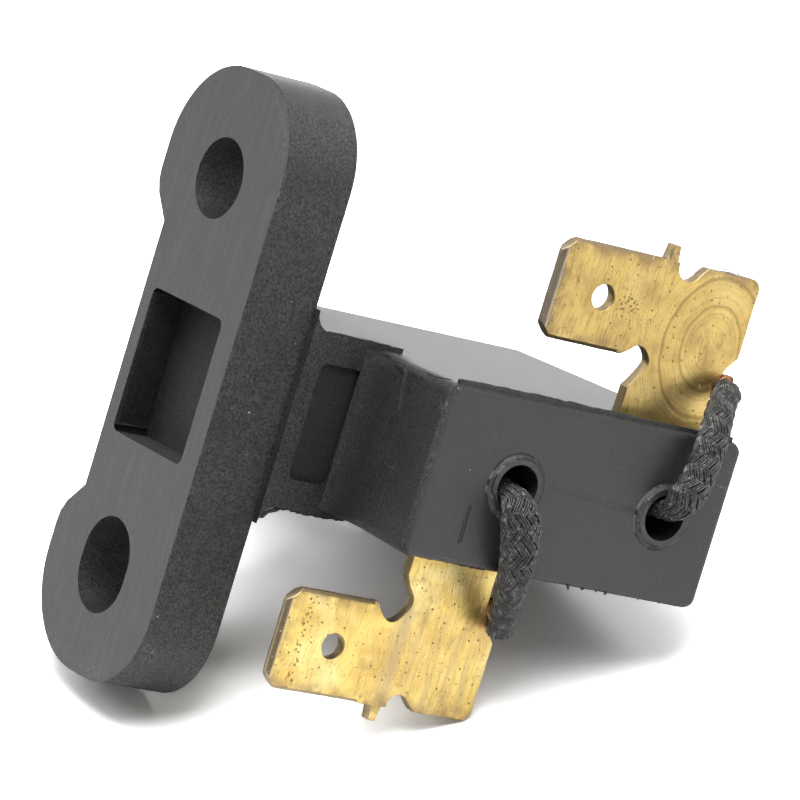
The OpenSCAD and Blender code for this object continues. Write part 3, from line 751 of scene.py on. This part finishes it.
ragged_strip("ridge_top",
             [(10.4, -15.12, 5.58), (14, -15.1, 5.6), (18.5, -15.1, 5.6), (23.6, -15.1, 5.58)],
             0.065, 0.07, 0.5, 3)
ragged_strip("ridge_top_right",
             [(30.6, -15.1, 5.58), (31.6, -15.1, 5.55)],
             0.06, 0.07, 0.45, 5)
ragged_strip("ridge_corner",
             [(9.75, -12.4, 5.16), (9.75, -13.6, 5.20), (9.95, -15.0, 5.42)],
             0.04, 0.05, 0.5, 8)
ragged_strip("ridge_lap",
             [(5.9, -7.02, 5.54), (7.5, -7.05, 5.52), (9.4, -7.05, 5.5), (11.45, -7.05, 5.42)],
             0.05, 0.07, 0.5, 11)
ragged_strip("flash_neck",
             [(5.1, -7.0, -6.3), (5.6, -7.0, -5.85), (6.4, -7.0, -5.52), (8.0, -7.0, -5.56),
              (9.8, -7.0, -5.55), (11.3, -7.0, -5.45)],
             0.06, 0.11, 0.7, 17)
ragged_strip("flash_under",
             [(11.2, -15.2, -5.32), (14.0, -15.25, -5.34), (16.2, -15.25, -5.34)],
             0.04, 0.05, 0.9, 21)


def crumbs():
    """Small torn crumbs of flash, mostly along the block's lower edge."""
    rnd = random.Random(5)
    bm = bmesh.new()
    spots = [((22.4, -15.5, -5.32), 0.13), ((23.5, -15.5, -5.33), 0.08),
             ((25.3, -15.5, -5.34), 0.12), ((24.6, -15.45, -5.33), 0.07),
             ((27.9, -15.45, -5.33), 0.06), ((29.6, -15.4, -5.33), 0.05),
             ((0.9, 6.38, 9.1), 0.10), ((4.9, -3.0, 18.9), 0.05),
             ((20.6, -15.45, -5.33), 0.05), ((5.0, -6.55, 12.6), 0.06)]
    for place, size in spots:
        rot = Matrix.Rotation(rnd.uniform(0, 6), 4, Vector((rnd.random(), rnd.random(), 1)))
        made = bmesh.ops.create_icosphere(bm, subdivisions=2, radius=size * MM, matrix=(
            Matrix.Translation(Vector(place) * MM) @ rot
            @ Matrix.Diagonal((rnd.uniform(0.8, 1.8), 0.7, rnd.uniform(0.6, 1.0), 1))))
        for v in made["verts"]:
            v.co += noise.noise_vector(v.co / MM * 6) * size * 0.5 * MM
    mesh = bpy.data.meshes.new("crumbs")
    bm.to_mesh(mesh)
    bm.free()
    piece("crumbs", mesh, "flash", "holder")


crumbs()


# ---- terminals ----
def terminal(side):
    """A stamped blade with slightly wavy edges."""
    mesh = clean_copy(side + "_terminal", side + "_blade")
    cut_edges(mesh, 0.7)
    roughen(mesh, 0.035, 1.1, (1, 0, 1), 3.0 if side == "inner" else 9.0)
    ob = piece(side + "_blade", mesh, "brass", nodes=[side + "_terminal"])
    bevelled(ob, 0.07, 2, 20)
    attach(ob, "holder")


terminal("inner")
terminal("outer")


def burr():
    """A curled burr on the outer terminal's upper edge."""
    t = Tubes()
    for k, (dx, dz, r) in enumerate(((0, 0, 0.14), (0.25, 0.03, 0.10), (-0.2, 0.0, 0.10))):
        pts = []
        for i in range(9):
            a = i / 8
            pts.append((28.9 + dx + a * 0.9, -12.75 + 0.22 * math.sin(a * 5 + k),
                        15.12 + dz + 0.12 * math.sin(a * math.pi) - a * 0.03))
        t.strand(pts, 6, r)
    piece("burr", t.mesh("burr"), "burr", "holder")


burr()

# ---- leads: braided sleeves over twisted copper strands ----
# [x, y, z, width] from the middle of the hole's mouth: the CAD source's points to 0.1 mm,
# and its widths to 0.25 mm
ROUTES = {
    "outer": [[0, 3.4, 0.1, 2.1], [0.05, 2.2, 0.25, 2.1], [0.15, 1.2, 0.4, 2.1],
              [0.2, 0.3, 0.5, 2.1], [0.2, -0.4, 0.58, 2.15], [0.26, -0.92, 0.9, 2.45],
              [0.35, -1.15, 1.5, 2.75], [0.65, -1.25, 2.4, 2.6], [0.92, -1.2, 3.6, 2.4],
              [1.2, -0.95, 4.9, 2.4], [1.75, -0.25, 6.3, 2.15], [2.46, 0.7, 7.4, 2.0],
              [3.25, 1.55, 8.35, 1.85]],
    "inner": [[0, 3.4, -0.1, 2.1], [0, 2.2, -0.25, 2.1], [0, 1.2, -0.4, 2.1],
              [0, 0.3, -0.5, 2.1], [0, -0.35, -0.6, 2.35], [0.02, -0.85, -0.9, 2.65],
              [0.16, -1.15, -1.5, 2.95], [0.43, -1.25, -2.4, 2.85], [0.84, -1.15, -3.6, 2.7],
              [1.23, -0.85, -4.8, 2.45], [1.77, -0.25, -6.1, 2.15], [2.39, 0.5, -7.5, 1.9],
              [3.1, 1.3, -9.05, 1.75]]}
TAILS = {"outer": [[3.43, 2.08, 8.45], [3.43, 2.38, 8.45]],
         "inner": [[3.3, 1.95, -9], [3.3, 2.38, -9]]}
SLEEVE_THICK = 1.4


def placed(side, points):
    """A lead's points in the object's frame."""
    x = BRUSH[side]["x"]
    return np.array([[q[0] + x, q[1] + FRONT, q[2]] + list(q[3:]) for q in points])


def braid(side, seed):
    """A flattened braid of interlaced bundles of thin filaments, and its dark core."""
    rnd = random.Random(seed)
    rings = frames(placed(side, ROUTES[side]), 0.13)
    total = rings[-1][5]
    # bundles each way round, filaments in a bundle, and the length of a full turn
    carriers, filaments, pitch = 12, 3, 9.4
    # a filament's radius, its step to the next, and how far bundles rise and dip to cross
    strand_r, gap, weave = 0.062, 0.112, 0.055
    half_t = SLEEVE_THICK / 2
    tubes = Tubes()
    for turn in (1, -1):
        for c in range(carriers):
            for f in range(filaments):
                phase = rnd.uniform(0, 6)
                centres, normals = [], []
                stop = total + rnd.uniform(-0.12, 0.10)
                for at, ahead, wide, thin, width, s in rings:
                    if s > stop:
                        break
                    u = s / pitch
                    half_w = width / 2
                    mean = math.sqrt((half_w ** 2 + half_t ** 2) / 2)
                    shift = (f - (filaments - 1) / 2) * gap / mean * 1.25
                    shift += 0.05 * noise.noise(Vector((s * 0.9, phase, c * 3.7 + f)))
                    a = 2 * math.pi * (c / carriers + turn * u) + shift
                    lift = turn * weave * math.cos(math.pi * carriers * u + math.pi / 4)
                    lift += 0.03 * noise.noise(Vector((phase, s * 1.3, f * 2.3)))
                    flare = max(0.0, s - total + 0.6) * 0.12
                    inset = strand_r + 0.05 - lift - flare
                    out = wide * math.cos(a) / half_w + thin * math.sin(a) / half_t
                    out /= np.linalg.norm(out)
                    centres.append(at + wide * math.cos(a) * half_w
                                   + thin * math.sin(a) * half_t - out * inset)
                    normals.append(out)
                tubes.strand(centres, 5, strand_r, 0.8, normals)
    # the core fills the gaps between the bundles, this far under the surface
    under = 0.2
    core = [r for r in rings if r[5] < total - 0.15]
    tubes.add([r[0] for r in core], 14, [r[2] * (r[4] / 2 - under) for r in core],
              [r[3] * (half_t - under) for r in core])
    piece(side + "_braid", tubes.mesh(side + "_braid"), "braid", "holder",
          [side + "_sleeve"])


def strands(side):
    """Seven twisted copper strands from the brush's packing to the weld."""
    x, y0 = BRUSH[side]["x"], BRUSH[side]["y"]
    inside = np.array([[x, y0 + 3.95, 0], [x, y0, 0], [x, WELL, 0]])
    route = np.concatenate([inside, placed(side, ROUTES[side])[:, :3], placed(side, TAILS[side])])
    tubes = Tubes()
    rings = frames(route, 0.22)
    # six strands twist round a thicker one, with a full turn in this length
    around, twist = 6, 5.0
    for k in range(around + 1):
        centres, normals = [], []
        for at, ahead, wide, thin, _, s in rings:
            a = 2 * math.pi * (k / around + s / twist)
            r = 0.0 if k == around else 1.0
            centres.append(at + r * (wide * math.cos(a) * 0.33 + thin * math.sin(a) * 0.25))
            normals.append(wide * math.cos(a) + thin * math.sin(a))
        tubes.strand(centres, 6, 0.155 if k < around else 0.17, 1.0, normals)
    ob = piece(side + "_strands", tubes.mesh(side + "_strands"), "copper", None,
               [side + "_pigtail"])
    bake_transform(ob)


def spring(side):
    """A compression spring whose first and last turns are closed."""
    low, high = (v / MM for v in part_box(side + "_spring"))
    x = BRUSH[side]["x"]
    wire, turns, closed, per_turn = 0.5, 7, 0.75, 30
    r = (high.x - low.x - wire) / 2
    y0, y1 = low.y + wire / 2, high.y - wire / 2
    tubes = Tubes()
    centres, normals = [], []
    for i in range(turns * per_turn + 1):
        t = i / per_turn
        if t < closed:
            y = t * wire * 0.15
        elif t > turns - closed:
            y = (y1 - y0) - (turns - t) * wire * 0.15
        else:
            y = wire * 0.5 + (t - closed) * (y1 - y0 - wire) / (turns - 2 * closed)
        a = 2 * math.pi * t
        normals.append(np.array([math.cos(a), 0, math.sin(a)]))
        centres.append(np.array([x + r * math.cos(a), y0 + y, r * math.sin(a)]))
    tubes.strand(centres, 8, wire / 2, 1.0, normals)
    ob = piece(side + "_coil", tubes.mesh(side + "_coil"), "spring", None,
               [side + "_spring"])
    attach(ob, "holder")
    # the brush goes 6.5 mm into the room behind it
    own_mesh(ob)


def brush(side):
    """A carbon brush with broken edges."""
    mesh = clean_copy(side + "_brush", side + "_carbon")
    ob = piece(side + "_carbon", mesh, "carbon", nodes=[side + "_brush"])
    bevelled(ob, 0.10)
    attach(ob, side + "_brush")


def weld(side):
    """A lumpy weld bead between the strands and the terminal."""
    mesh = clean_copy(side + "_weld", side + "_bead")
    ob = piece(side + "_bead", mesh, "copper", nodes=[side + "_weld"])
    mod = ob.modifiers.new("round", "BEVEL")
    mod.width = 0.22 * MM
    mod.segments = 4
    mod.limit_method = "ANGLE"
    mod = ob.modifiers.new("fine", "SUBSURF")
    mod.subdivision_type = "SIMPLE"
    mod.levels = 2
    apply_modifiers(ob)
    roughen(ob.data, 0.05, 0.5)
    ob.data.shade_smooth()
    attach(ob, "holder")


for side in ("inner", "outer"):
    braid(side, 31 if side == "inner" else 47)
    strands(side)
    spring(side)
    brush(side)
    weld(side)


# ---- floor: the holder lies on its flange's end, the lower terminal and the block's back ----
FLOOR_UP = Vector((-0.4189, -0.1963, 0.8866)).normalized()
FLOOR_FOOT = Vector((4.95, 1.92, -18.9)) * MM
FLOOR_HALF = 0.25        # half its side, in metres
# how bright it is as it lights the object, what the camera sees, and what reflections add
FLOOR_LIT, FLOOR_SEEN, FLOOR_MIRRORED = 0.8, 1.8, 0.25


def floor():
    """A plain pale floor that keeps the shadow and is white to the camera."""
    side = FLOOR_UP.cross(Vector((0, 1, 0))).normalized()
    other = FLOOR_UP.cross(side)
    corners = [FLOOR_FOOT + (side * a + other * b) * FLOOR_HALF
               for a, b in ((-1, -1), (1, -1), (1, 1), (-1, 1))]
    mesh = bpy.data.meshes.new("floor")
    mesh.from_pydata(corners, [], [(0, 1, 2, 3)])
    ob = bpy.data.objects.new("floor", mesh)
    bpy.context.scene.collection.objects.link(ob)
    mat = bpy.data.materials.new("floor")
    mat.use_nodes = True
    t = mat.node_tree
    t.nodes.clear()
    out = t.nodes.new("ShaderNodeOutputMaterial")
    shade = t.nodes.new("ShaderNodeBsdfDiffuse")
    # seen from below, the floor is clear
    clear = t.nodes.new("ShaderNodeBsdfTransparent")
    facing = t.nodes.new("ShaderNodeNewGeometry")
    one_sided = t.nodes.new("ShaderNodeMixShader")
    t.links.new(facing.outputs["Backfacing"], one_sided.inputs[0])
    t.links.new(shade.outputs[0], one_sided.inputs[1])
    t.links.new(clear.outputs[0], one_sided.inputs[2])
    t.links.new(one_sided.outputs[0], out.inputs["Surface"])
    rays = t.nodes.new("ShaderNodeLightPath")
    bright = None
    for ray, more in (("Is Camera Ray", FLOOR_SEEN - FLOOR_LIT),
                      ("Is Glossy Ray", FLOOR_MIRRORED), ("Is Transmission Ray", FLOOR_MIRRORED)):
        n = t.nodes.new("ShaderNodeMath")
        n.operation = "MULTIPLY_ADD"
        t.links.new(rays.outputs[ray], n.inputs[0])
        n.inputs[1].default_value = more
        if bright is None:
            n.inputs[2].default_value = FLOOR_LIT
        else:
            t.links.new(bright, n.inputs[2])
        bright = n.outputs[0]
    color = t.nodes.new("ShaderNodeCombineColor")
    for i in range(3):
        t.links.new(bright, color.inputs[i])
    t.links.new(color.outputs[0], shade.inputs["Color"])
    mesh.materials.append(mat)


floor()

# ---- light: overhead lamps, whose directions follow from the shadow on the floor ----
LAMP_DISTANCE = 0.50     # metres from the object's middle
# name, direction, side in metres, watts
LAMPS = (("over", (-0.46, -0.22, 0.86), 0.36, 3.3),
         ("left", (-0.76, 0.40, 0.50), 0.30, 0.7),
         ("front", (0.20, -0.62, 0.76), 0.25, 0.6))
WORLD_LIT = 0.22         # the world's strength as light; rays that show it see 1
# the darker room that reflections see behind the camera: its direction, the cosines from
# where it starts to where it is full, and its strength
ROOM, ROOM_LIMITS, ROOM_LIT = (-0.76, -0.64, 0.10), (0.45, 0.85), 0.25


def softbox(name, toward, size, watts):
    """A soft lamp in the direction toward, facing the object's middle."""
    middle = (Vector(cad_box[0]) + Vector(cad_box[1])) / 2
    data = bpy.data.lights.new(name, "AREA")
    data.energy = watts
    data.shape = "RECTANGLE"
    data.size = size
    data.size_y = size
    ob = bpy.data.objects.new(name, data)
    ob.location = middle + Vector(toward).normalized() * LAMP_DISTANCE
    ob.rotation_euler = (-Vector(toward)).to_track_quat("-Z", "Y").to_euler()
    bpy.context.scene.collection.objects.link(ob)


def surroundings():
    """An even world that rays for the camera, reflections and glass see as white."""
    world = bpy.data.worlds.new("world")
    bpy.context.scene.world = world
    world.use_nodes = True
    t = world.node_tree
    t.nodes.clear()
    link = t.links.new
    rays = t.nodes.new("ShaderNodeLightPath").outputs

    def larger(a, b):
        n = t.nodes.new("ShaderNodeMath")
        n.operation = "MAXIMUM"
        link(a, n.inputs[0])
        link(b, n.inputs[1])
        return n.outputs[0]

    lit, seen = (t.nodes.new("ShaderNodeBackground") for _ in range(2))
    for n in (lit, seen):
        n.inputs["Color"].default_value = (1, 1, 1, 1)
    lit.inputs["Strength"].default_value = WORLD_LIT
    # reflections see white all round except in the dark room behind the camera
    toward = t.nodes.new("ShaderNodeVectorMath")
    toward.operation = "DOT_PRODUCT"
    link(t.nodes.new("ShaderNodeTexCoord").outputs["Generated"], toward.inputs[0])
    toward.inputs[1].default_value = ROOM
    room = t.nodes.new("ShaderNodeMapRange")
    room.interpolation_type = "SMOOTHSTEP"
    link(toward.outputs["Value"], room.inputs[0])
    for i, v in enumerate(ROOM_LIMITS + (1.0, ROOM_LIT)):
        room.inputs[i + 1].default_value = v
    link(larger(room.outputs[0], rays["Is Camera Ray"]), seen.inputs["Strength"])
    # which of the two a ray sees
    either = t.nodes.new("ShaderNodeMixShader")
    link(larger(larger(rays["Is Camera Ray"], rays["Is Glossy Ray"]),
                rays["Is Transmission Ray"]), either.inputs[0])
    link(lit.outputs[0], either.inputs[1])
    link(seen.outputs[0], either.inputs[2])
    out = t.nodes.new("ShaderNodeOutputWorld")
    link(either.outputs[0], out.inputs[0])


for lamp in LAMPS:
    softbox(*lamp)
surroundings()
